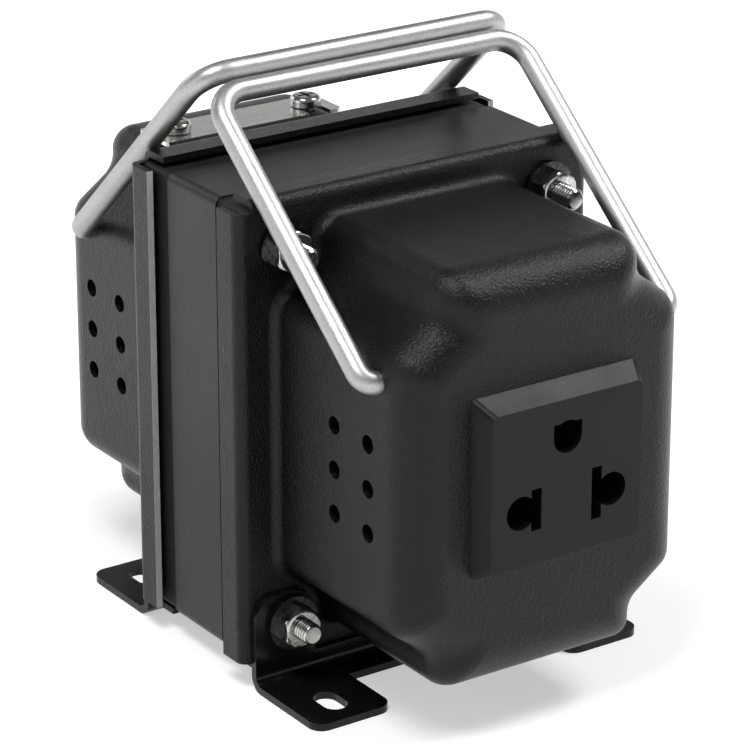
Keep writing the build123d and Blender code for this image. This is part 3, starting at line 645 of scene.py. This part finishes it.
def cut_centres(corners):
    """Centre and radius of each of the four round cuts, one in each quarter of the face."""
    middle = sum(corner.z for corner in corners) / len(corners)
    centres = []
    radius = 0
    for right in (False, True):
        for upper in (False, True):
            ring = [c for c in corners if (c.x > 0) == right and (c.z > middle) == upper]
            low = Vector(min(c[axis] for c in ring) for axis in range(3))
            high = Vector(max(c[axis] for c in ring) for axis in range(3))
            centres.append((low + high) / 2)
            radius = max(radius, (high.x - low.x) / 2)
    return centres, radius


def threaded_bolts():
    """The through bolts, cut off inside their nuts and threaded from there to the tip."""
    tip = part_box("through_bolts")[0].y
    nut_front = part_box("bolt_nuts")[0].y
    turns = math.ceil((nut_front + thread_inside_nut - tip) / thread_pitch)
    length = turns * thread_pitch
    shape = merged_copy("through_bolts")
    cut = bmesh.ops.bisect_plane(
        shape, geom=shape.verts[:] + shape.edges[:] + shape.faces[:], dist=join_distance,
        plane_co=(0, tip + length, 0), plane_no=(0, -1, 0), clear_outer=True,
    )
    corners = [part.co.copy() for part in cut["geom_cut"] if isinstance(part, bmesh.types.BMVert)]
    close_holes(shape)
    shanks = mesh_from("bolt_shanks", shape)
    add_piece("bolt_shanks", shanks, "bright_fasteners", "chassis", "through_bolts")

    centres, radius = cut_centres(corners)
    step = thread_pitch / thread_rings_per_turn
    rings = (turns + 1) * thread_rings_per_turn + rings_at_ends
    threads = run_tree("bolt_threads", centres, thread_tree(thread_nickel()), {
        "Radius": radius, "Depth": thread_depth, "Pitch": thread_pitch, "Length": length,
        "Span": (rings - 1) * step, "Bevel": thread_bevel, "Around": thread_around, "Rings": rings,
    })
    add_piece("bolt_threads", threads, "bright_fasteners", "chassis")


threaded_bolts()


# Floor, light and surroundings

def shown_white(tree, lit, shown):
    """A strength where the camera, gloss or glass shows it, and another as light."""
    path = tree.nodes.new("ShaderNodeLightPath")
    seen = math_node(tree, "MAXIMUM", path.outputs["Is Camera Ray"], path.outputs["Is Glossy Ray"])
    seen = math_node(tree, "MAXIMUM", seen, path.outputs["Is Transmission Ray"])
    return range_node(tree, seen, lit, shown)


def make_floor():
    """A pale floor under the object that shows as white and keeps the shadow."""
    half = floor_side / 2
    mesh = bpy.data.meshes.new("floor")
    corners = [(-half, -half, 0), (half, -half, 0), (half, half, 0), (-half, half, 0)]
    mesh.from_pydata(corners, [], [(0, 1, 2, 3)])
    material = bpy.data.materials.new("floor_white")
    material.use_nodes = True
    shader = material.node_tree.nodes["Principled BSDF"]
    shader.inputs["Base Color"].default_value = (*floor_colour, 1.0)
    shader.inputs["Roughness"].default_value = floor_roughness
    shader.inputs["Specular IOR Level"].default_value = 0.0
    shader.inputs["Emission Color"].default_value = (1.0, 1.0, 1.0, 1.0)
    tree = material.node_tree
    distance = tree.nodes.new("ShaderNodeVectorMath")
    distance.operation = "LENGTH"
    link(tree, tree.nodes.new("ShaderNodeTexCoord").outputs["Object"], distance.inputs[0])
    glow = range_node(tree, distance.outputs["Value"], near_glow, far_glow, near_floor, far_floor)
    link(tree, shown_white(tree, 0.0, glow), shader.inputs["Emission Strength"])
    mesh.materials.append(material)
    floor = bpy.data.objects.new("floor", mesh)
    scene.collection.objects.link(floor)


def make_surroundings():
    """White round the horizon, darker overhead, and dimmer as a light than as a sight."""
    world = bpy.data.worlds.new("surroundings")
    world.use_nodes = True
    scene.world = world
    tree = world.node_tree
    direction = tree.nodes.new("ShaderNodeTexCoord").outputs["Generated"]
    parts = tree.nodes.new("ShaderNodeSeparateXYZ")
    link(tree, direction, parts.inputs[0])
    shown = range_node(tree, parts.outputs["Z"], 1.0, overhead_shade, white_up_to, shaded_from)
    background = tree.nodes["Background"]
    background.inputs["Color"].default_value = (1.0, 1.0, 1.0, 1.0)
    link(tree, shown_white(tree, surroundings_strength, shown), background.inputs["Strength"])


def make_light(name, settings):
    """A rectangular lamp aimed at the object."""
    data = bpy.data.lights.new(name, "AREA")
    data.shape = "RECTANGLE"
    data.size, data.size_y = settings["sides"]
    data.energy = settings["energy"]
    light = bpy.data.objects.new(name, data)
    light.location = settings["place"]
    light.rotation_euler = (light_target - light.location).to_track_quat("-Z", "Y").to_euler()
    scene.collection.objects.link(light)


make_floor()
make_surroundings()
for lamp_name, lamp_settings in lamps.items():
    make_light(lamp_name, lamp_settings)
scene.view_settings.view_transform = "Standard"
